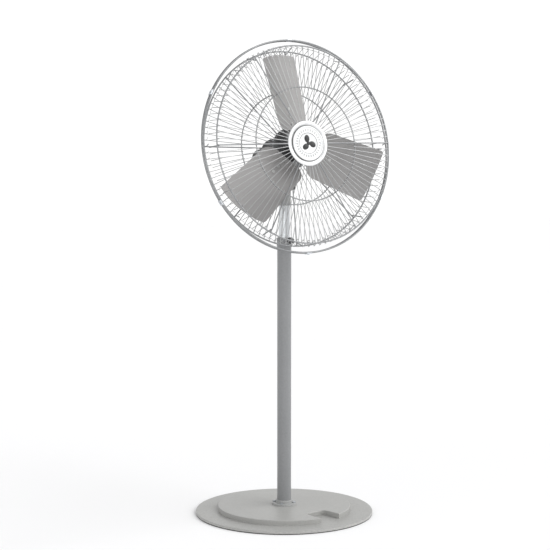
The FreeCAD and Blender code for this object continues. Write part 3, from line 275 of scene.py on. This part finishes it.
# ---- Pole flange, outer pole and collar ----
# A turned flange bolted to the weight, the fixed steel tube in it, and the collar plugged into the
# tube's top. Enamelled like the base, in a slightly darker coat on the drawn tube.
flange_enamel = grey_enamel("flange_enamel", (0.36, 0.365, 0.36), 260.0)
pole_enamel = grey_enamel("pole_enamel", (0.235, 0.24, 0.245), 480.0)
coat(flange_enamel, "pole_flange")
coat(pole_enamel, "outer_pole", "pole_collar")


# ---- Inner pole and its guide ----
# The sliding steel tube, bright zinc plated, with fine rings left by drawing and by sliding in the
# collar, and a nylon guide round its hidden lower end.
inner_zinc = Finish("inner_pole_zinc", Metallic=1.0)
drawn = inner_zinc.noise(6.0, 4.0, 0.6, inner_zinc.place(scale=(90, 90, 2.0)))
worn = inner_zinc.noise(3.0, where=inner_zinc.place(scale=(3, 3, 160)))
inner_zinc.feed(Base_Color=inner_zinc.mix(drawn, (0.50, 0.52, 0.54), (0.74, 0.76, 0.77)),
                Roughness=0.2 + 0.16 * worn + 0.08 * drawn,
                Normal=inner_zinc.bump(drawn * 0.6 + worn * 0.4, 0.10, 0.0003))
coat(inner_zinc, "inner_pole")
nylon = Finish("natural_nylon", Subsurface_Weight=0.05)
nylon.feed(Base_Color=nylon.mix(nylon.noise(30.0), (0.70, 0.69, 0.63), (0.80, 0.79, 0.74)),
           Roughness=0.45 + 0.15 * nylon.noise(70.0))
coat(nylon, "pole_guide", "tilt_washers", "run_capacitor")


# ---- Clamp knobs ----
# Lobed phenolic knobs moulded on steel screws: one for the height, one for the swivel, one for the
# tilt, and the pointer knob of the speed switch. Black, with a satin moulded skin worn on the lobes.
phenolic = Finish("black_phenolic", Specular_IOR_Level=0.5)
wear = phenolic.noise(65.0, 4.0)
phenolic.feed(Base_Color=phenolic.mix(wear, (0.012, 0.012, 0.013), (0.036, 0.035, 0.034)),
              Roughness=0.34 + 0.25 * wear, Normal=phenolic.bump(phenolic.noise(900.0), 0.12, 0.0003))
coat(phenolic, "height_knob", "swivel_knob", "tilt_knob", "speed_knob", "speed_switch", "cable_gland")


# ---- Pole head ----
# A die-cast fork that turns on the inner pole and carries the tilt bolt between its two cheeks.
# Cast skin under grey enamel.
coat(grey_enamel("fork_enamel", (0.33, 0.335, 0.33), 170.0), "pole_head")


# ---- Fan head's own frame ----
# The head is tilted back on the fork. Its frame has its origin in the rim's plane on the shaft's
# axis, z forward along the shaft, y up and x to the right of someone who faces the fan.
spin = next(joint for joint in frame["joints"] if joint["name"] == "fan_spin")
forward = -Vector(spin["axis"]).normalized()
across = Vector((1, 0, 0))
facing = Matrix((across, forward.cross(across), forward)).transposed().to_4x4()
head_frame = Matrix.Translation(Vector(spin["pos_m"])) @ facing
head_inverse = head_frame.inverted()


def head_box(name):
    """The lowest and highest corner of a CAD node in the head's frame."""
    points = [head_inverse @ vertex.co for vertex in frame["nodes"][name].data.vertices]
    return (Vector([min(p[k] for p in points) for k in range(3)]),
            Vector([max(p[k] for p in points) for k in range(3)]))


def head_coordinates(finish, scale=(1, 1, 1), turn=0.0):
    """Object coordinates moved into the head's frame, then turned about the shaft and scaled."""
    turned = Matrix.Rotation(-turn, 4, "Z") @ head_inverse
    there = finish.node("Mapping", values={
        "Vector": finish.node("TexCoord", out="Object"),
        "Rotation": turned.to_euler(), "Location": turned.translation})
    return finish.node("Mapping", values={"Vector": there, "Scale": scale})


def settle(piece, name, finish, turn=0.0):
    """Puts a piece made in the head's frame where it belongs, names it and gives it its finish."""
    no_selection()
    piece.select_set(True)
    bpy.context.view_layer.objects.active = piece
    piece.matrix_world = head_frame @ Matrix.Rotation(turn, 4, "Z") @ piece.matrix_world
    bpy.ops.object.transform_apply(location=True, rotation=True, scale=True)
    piece.name = name
    piece.data.name = name
    piece.data.materials.clear()
    piece.data.materials.append(finish.material)
    bpy.ops.object.shade_smooth_by_angle(angle=math.radians(40))
    return piece


def mount_on_head(piece, node):
    """Fixes a piece to the fan head, in the place of a CAD node."""
    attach(piece, "head")
    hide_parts(node)


# ---- Motor and its bracket ----
# An enclosed motor with cast ends and a rolled shell, on a bent steel bracket, and behind it the
# drawn housing of the switch. All black enamel, semi-gloss, with dust on what faces up.
black_enamel = Finish("black_enamel", Specular_IOR_Level=0.5)
dust = black_enamel.noise(26.0, 5.0)
black_enamel.feed(Base_Color=black_enamel.mix(dust, (0.008, 0.008, 0.009), (0.030, 0.030, 0.031)),
                  Roughness=0.28 + 0.3 * dust,
                  Normal=black_enamel.bump(black_enamel.noise(420.0), 0.14, 0.0006))
coat(black_enamel, "motor_bracket", "motor_front_bell", "motor_rear_bell", "motor_shell", "switch_housing",
     "blade_spider")


shell_low, shell_high = head_box("motor_shell")
shell_rib_count = 36
groove_margin = 0.0009
groove_depth = 0.0012
shell_wall = 0.0013
no_selection()
bpy.ops.mesh.primitive_cylinder_add(
    vertices=2 * shell_rib_count, radius=shell_high.x, depth=shell_high.z - shell_low.z,
    end_fill_type="NOTHING", location=(0, 0, (shell_low.z + shell_high.z) / 2))
shell = bpy.context.object
bpy.ops.object.transform_apply(location=True, rotation=True, scale=True)
for number, side in enumerate(shell.data.polygons):
    side.select = number % 2 == 0
bpy.ops.object.mode_set(mode="EDIT")
bpy.ops.mesh.select_mode(type="FACE")
bpy.ops.mesh.inset(thickness=groove_margin, depth=-groove_depth, use_individual=True)
bpy.ops.object.mode_set(mode="OBJECT")
wall = shell.modifiers.new("wall", "SOLIDIFY")
wall.thickness = shell_wall
bpy.ops.object.modifier_apply(modifier="wall")
mount_on_head(settle(shell, "motor_shell_ribbed", black_enamel), "motor_shell")


# ---- Inside the motor ----
# Stacked laminations, varnished copper, and ball bearings of hardened steel on a ground shaft.
laminations = Finish("lamination_steel", Metallic=0.9)
stack = laminations.node("TexWave", {"wave_type": "BANDS", "bands_direction": "Z"}, {
    "Vector": head_coordinates(laminations), "Scale": 300.0, "Distortion": 0.4}, out="Fac")
laminations.feed(Base_Color=laminations.mix(stack, (0.14, 0.14, 0.15), (0.30, 0.30, 0.31)),
                 Roughness=0.35 + 0.15 * laminations.noise(50.0), Normal=laminations.bump(stack, 0.3, 0.0003))
coat(laminations, "stator_core", "rotor_core")
copper = Finish("copper_winding", Metallic=0.8, Coat_Weight=0.4)
strands = copper.noise(150.0, 3.0)
copper.feed(Base_Color=copper.mix(strands, (0.42, 0.15, 0.06), (0.72, 0.33, 0.16)),
            Roughness=0.3 + 0.15 * strands, Normal=copper.bump(strands, 0.4, 0.0006))
coat(copper, "stator_windings")
steel = bright_zinc("ground_steel", (0.33, 0.33, 0.34), (0.52, 0.52, 0.53), 0.18, 1200.0)
coat(steel, "motor_shaft", "front_bearing", "rear_bearing", "hub_set_screw")


# ---- Blades and rivets ----
# Three paddles of rolled aluminium sheet, riveted to the arms of a steel spider. The mill finish
# runs along each blade, with faint handling marks.
def rolled_sheet(name, turn):
    finish = Finish(name, Metallic=0.55, Specular_IOR_Level=0.4)
    streak = finish.noise(4.0, 5.0, 0.65, head_coordinates(finish, (2.0, 75.0, 20.0), turn))
    cloud = finish.noise(7.0, 3.0)
    tone = finish.mix(streak * 0.6 + cloud * 0.4, (0.26, 0.255, 0.252), (0.40, 0.392, 0.388))
    finish.feed(Base_Color=tone, Roughness=0.33 + 0.2 * cloud + 0.08 * streak,
                Normal=finish.bump(streak, 0.05, 0.0004))
    return finish


for name in ("blade_1", "blade_2", "blade_3"):
    low, high = head_box(name)
    middle = (low + high) / 2
    coat(rolled_sheet("sheet_of_" + name, math.atan2(middle.y, middle.x)), name)
rivet_alloy = bright_zinc("rivet_alloy", (0.40, 0.40, 0.40), (0.58, 0.58, 0.57), 0.3)
coat(rivet_alloy, "blade_rivets")


# ---- Guard wires ----
# Each guard has about ninety thin wires of plated steel, bent over the face ring and welded to
# the rim ring. Every other one starts half way out, so that the gaps stay narrow at the rim.
guard_plating = Finish("guard_plating", Metallic=0.75)
tarnish = guard_plating.noise(22.0, 4.0)
guard_plating.feed(Base_Color=guard_plating.mix(tarnish, (0.34, 0.345, 0.35), (0.50, 0.505, 0.505)),
                   Roughness=0.24 + 0.2 * guard_plating.noise(90.0),
                   Normal=guard_plating.bump(guard_plating.noise(600.0), 0.06, 0.0003))

spoke_wire = 0.0024
spoke_sides = 6
face_ring_wire = 0.005
face_ring_radius = 0.330
face_depth = 0.050
rim_wire = 0.006
spoke_count = 96
front_start = 0.060
rear_start = 0.0625
short_start = 0.183
front_rib_count = 6
rear_rib_count = 8
bend_radius = 0.009
bend_steps = 4
past_rim = 0.001


def push(step):
    bpy.ops.mesh.extrude_region_move(TRANSFORM_OT_translate={"value": step})


def bent_wire(start, corner, end, wire, sides):
    """One wire in the x z plane: a round section pushed along the face, spun round the bend and
    pushed on to the rim."""
    face = (corner - start).normalized()
    flank = (end - corner).normalized()
    angle = face.angle(flank)
    trim = bend_radius * math.tan(angle / 2)
    no_selection()
    bpy.ops.mesh.primitive_circle_add(vertices=sides, radius=wire / 2, fill_type="NGON", location=start,
                                      rotation=face.to_track_quat("Z", "Y").to_euler())
    made = bpy.context.object
    bpy.ops.object.transform_apply(location=True, rotation=True, scale=True)
    bpy.ops.object.mode_set(mode="EDIT")
    bpy.ops.mesh.select_all(action="SELECT")
    push(corner - face * trim - start)
    centre = corner - face * trim + Vector((face.z, 0, -face.x)) * bend_radius
    bpy.ops.mesh.spin(steps=bend_steps, angle=angle, center=centre, axis=(0, 1, 0))
    push(end - corner - flank * trim)
    bpy.ops.mesh.select_all(action="SELECT")
    bpy.ops.mesh.remove_doubles(threshold=1e-6)
    bpy.ops.mesh.normals_make_consistent(inside=False)
    bpy.ops.object.mode_set(mode="OBJECT")
    return made


def copies_round(pattern, places):
    """Copies of a piece at angles about the shaft, each with its own mesh."""
    copies = []
    for place in places:
        copy = pattern.copy()
        copy.data = pattern.data.copy()
        bpy.context.collection.objects.link(copy)
        copy.matrix_world = Matrix.Rotation(place, 4, "Z")
        copies.append(copy)
    bpy.data.objects.remove(pattern)
    return copies


def joined(parts):
    no_selection()
    for part in parts:
        part.select_set(True)
    bpy.context.view_layer.objects.active = parts[0]
    bpy.ops.object.join()
    whole = bpy.context.object
    bpy.ops.object.transform_apply(location=True, rotation=True, scale=True)
    return whole


def rim_end(corner, wire):
    """Where a straight wire from the corner meets the inside of the rim ring."""
    centre = Vector((rim_radius, 0, rim_depth))
    reach = centre - corner
    apart = (rim_wire + wire) / 2
    swing = math.asin(apart / reach.length)
    way = Matrix.Rotation(swing, 3, "Y") @ reach
    return corner + way * (math.sqrt(reach.length ** 2 - apart ** 2) + past_rim) / reach.length


def wires_of_guard(ribs, plate, wires, turn, rear):
    """The thin wires of one guard, made facing forward and turned over for the rear one."""
    low, high = head_box(plate)
    depth = (-high.z if rear else low.z) - spoke_wire / 2
    corner = Vector((face_ring_radius + (face_ring_wire + spoke_wire) / 2, 0, face_depth))
    start = Vector((rear_start if rear else front_start, 0, depth))
    half_way = start.lerp(corner, (short_start - start.x) / (corner.x - start.x))
    step = 2 * math.pi / spoke_count
    gap = spoke_count // ribs
    parts = []
    for first, inner in ((0, start), (1, half_way)):
        wire = bent_wire(inner, corner, rim_end(corner, spoke_wire), spoke_wire, spoke_sides)
        parts += copies_round(wire, [step * k for k in range(first, spoke_count, 2) if k % gap])
    whole = joined(parts)
    if rear:
        whole.matrix_world = Matrix.Rotation(math.pi, 4, "X")
    return settle(whole, wires + "_bent", guard_plating, turn)


rim_low, rim_high = head_box("front_guard_rings")
rim_radius = rim_high.x - rim_wire / 2
rim_depth = rim_low.z + rim_wire / 2
front_turn = math.radians(1.0)
rear_turn = math.radians(-1.0)
front_wires = wires_of_guard(front_rib_count, "front_guard_plate", "front_guard_wires", front_turn, False)
rear_wires = wires_of_guard(rear_rib_count, "rear_guard_plate", "rear_guard_wires", rear_turn, True)
mount_on_head(front_wires, "front_guard_wires")
mount_on_head(rear_wires, "rear_guard_wires")


# ---- Guard ribs and rings ----
# Heavier bars that carry each guard, bent like the wires and welded to the edge of its plate, and
# the welded rings that they and the wires cross.
rib_wire = 0.0044
rib_sides = 14


def ribs_of_guard(count, plate, node, turn, rear):
    low, high = head_box(plate)
    plate_face = -high.z if rear else low.z
    side = (rib_wire - spoke_wire) / 2
    start = Vector((high.x, 0, plate_face - spoke_wire / 2 + side))
    corner = Vector((face_ring_radius + (face_ring_wire + rib_wire) / 2, 0, face_depth + side))
    rib = bent_wire(start, corner, rim_end(corner, rib_wire), rib_wire, rib_sides)
    whole = joined(copies_round(rib, [2 * math.pi / count * k for k in range(count)]))
    if rear:
        whole.matrix_world = Matrix.Rotation(math.pi, 4, "X")
    mount_on_head(settle(whole, node + "_bent", dark_reflecting_plating, turn), node)


# Painted reflection: the rings, ribs and rear plate are plated steel like the wires. Their colour is made
# darker to stand for the dark surroundings that the bright metal reflects.
dark_reflecting_plating = Finish("dark_reflecting_plating", Metallic=0.8)
ring_tarnish = dark_reflecting_plating.noise(16.0, 4.0)
dark_reflecting_plating.feed(Base_Color=dark_reflecting_plating.mix(ring_tarnish, (0.20, 0.205, 0.21), (0.38, 0.385, 0.39)),
                  Roughness=0.26 + 0.2 * dark_reflecting_plating.noise(80.0),
                  Normal=dark_reflecting_plating.bump(dark_reflecting_plating.noise(500.0), 0.06, 0.0003))
ribs_of_guard(front_rib_count, "front_guard_plate", "front_guard_ribs", front_turn, False)
ribs_of_guard(rear_rib_count, "rear_guard_plate", "rear_guard_ribs", rear_turn, True)
coat(dark_reflecting_plating, "front_guard_rings", "rear_guard_rings", "rear_guard_plate")


# ---- Front plate and badge ----
# A pressed round plate with a bead near its edge closes the middle of the front guard. In the hollow
# inside the bead sits a dished badge, white enamel with a raised rim and a black sign of a fan.
def pressed_disc(radius, x, y, z, sides, steps):
    """A disc built inwards from its edge. Each step is how far it goes in and how far up; a step
    that goes nowhere in is a straight wall."""
    no_selection()
    bpy.ops.mesh.primitive_circle_add(vertices=sides, radius=radius, fill_type="NGON", location=(x, y, z))
    disc = bpy.context.object
    bpy.ops.object.transform_apply(location=True, rotation=True, scale=True)
    bpy.ops.object.mode_set(mode="EDIT")
    bpy.ops.mesh.select_all(action="SELECT")
    for inwards, up in steps:
        if inwards:
            bpy.ops.mesh.inset(thickness=inwards, depth=up)
        else:
            push((0, 0, up))
    bpy.ops.mesh.select_all(action="SELECT")
    bpy.ops.mesh.normals_make_consistent(inside=False)
    bpy.ops.object.mode_set(mode="OBJECT")
    return disc


def sides_of_shaft(finish):
    """How far each point is to the right of the shaft's axis and above it."""
    here = head_coordinates(finish)
    return [finish.node("SeparateXYZ", values={0: here}, out=k) for k in (0, 1)]


def band(distance, inner, outer):
    """1 between two distances and 0 elsewhere."""
    return distance.above(inner) * (1 - distance.above(outer))


plate_low, plate_high = head_box("front_guard_plate")
badge_low, badge_high = head_box("centre_badge")
badge_radius = badge_high.x
disc_sides = 96
plate_plating = Finish("plate_plating", Metallic=0.6)
plate_x, plate_y = sides_of_shaft(plate_plating)
from_shaft = (plate_x * plate_x + plate_y * plate_y) ** 0.5
# Painted shade: a near-black ring on the plate round the badge's edge stands for the shadow in the gap between
# the badge and the bead.
groove_shade = band(from_shaft, badge_radius - 0.001, badge_radius + 0.004)
bright = plate_plating.mix(plate_plating.noise(26.0, 4.0), (0.70, 0.71, 0.72), (0.86, 0.865, 0.865))
plate_plating.feed(Base_Color=plate_plating.mix(groove_shade * 0.8, bright, (0.05, 0.05, 0.05)),
                   Roughness=0.24 + 0.18 * plate_plating.noise(60.0, 3.0) + 0.2 * groove_shade,
                   Normal=plate_plating.bump(plate_plating.noise(650.0), 0.05, 0.0003))
bead = ((0, 0.0008), (0.0006, 0.0007), (0.0012, 0.0008), (0.0022, 0.0004), (0.0030, 0.0), (0.0022, -0.0004),
        (0.0012, -0.0008), (0.0006, -0.0008), (0.0012, -0.0004))
front_plate = pressed_disc(plate_high.x, 0, 0, plate_low.z, disc_sides, bead)
mount_on_head(settle(front_plate, "front_plate_pressed", plate_plating), "front_guard_plate")

badge_enamel = Finish("badge_enamel", Specular_IOR_Level=0.5, Coat_Weight=0.3)
badge_x, badge_y = sides_of_shaft(badge_enamel)
from_shaft = (badge_x * badge_x + badge_y * badge_y) ** 0.5
bearing = badge_enamel.node("Math", {"operation": "ARCTAN2"}, {0: badge_y, 1: badge_x})
tick_count = 30.0
tick = badge_enamel.node("Math", {"operation": "SINE"}, {0: bearing * tick_count}).above(0.1)
thin_line = band(from_shaft, 0.0335, 0.0350)
ink = thin_line + band(from_shaft, 0.0400, 0.0470) * tick * 0.5
white = badge_enamel.mix(badge_enamel.noise(40.0, 3.0), (0.74, 0.75, 0.75), (0.84, 0.845, 0.845))
badge_enamel.feed(Base_Color=badge_enamel.mix(ink.at_most(1.0), white, (0.07, 0.07, 0.075)),
                  Roughness=0.28 + 0.14 * badge_enamel.noise(60.0))
thick = badge_high.z - badge_low.z
dish = ((0, thick - 0.0012), (0.0005, 0.0008), (0.0009, 0.0004), (0.0024, 0.0), (0.0009, -0.0005),
        (0.0006, -0.0012), (0.0009, -0.0003), (0.0150, 0.0), (0.0006, 0.0004), (0.0010, 0.0), (0.0006, -0.0004))
badge = pressed_disc(badge_radius, 0, 0, badge_low.z, disc_sides, dish)
mount_on_head(settle(badge, "badge_dished", badge_enamel), "centre_badge")

vane_place = 0.0152
vane_radius = 0.0098
vane_step = 0.0045
boss_radius = 0.0062
sign_sides = 32
sign_floor = badge_high.z - 0.002
sign_steps = ((0, 0.0008), (0.0006, 0.0004))
vane = pressed_disc(vane_radius, vane_place, vane_step, sign_floor, sign_sides, sign_steps)
no_selection()
vane.select_set(True)
bpy.context.view_layer.objects.active = vane
bpy.ops.object.mode_set(mode="EDIT")
bpy.ops.mesh.select_all(action="SELECT")
bpy.ops.transform.resize(value=(1.25, 0.95, 1.0), center_override=(vane_place, vane_step, sign_floor))
bpy.ops.object.mode_set(mode="OBJECT")
vanes = copies_round(vane, [math.radians(90 + 120 * k) for k in range(3)])
boss = pressed_disc(boss_radius, 0, 0, sign_floor, sign_sides, sign_steps)
sign = settle(joined(vanes + [boss]), "badge_fan_sign", black_enamel)
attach(sign, "head")
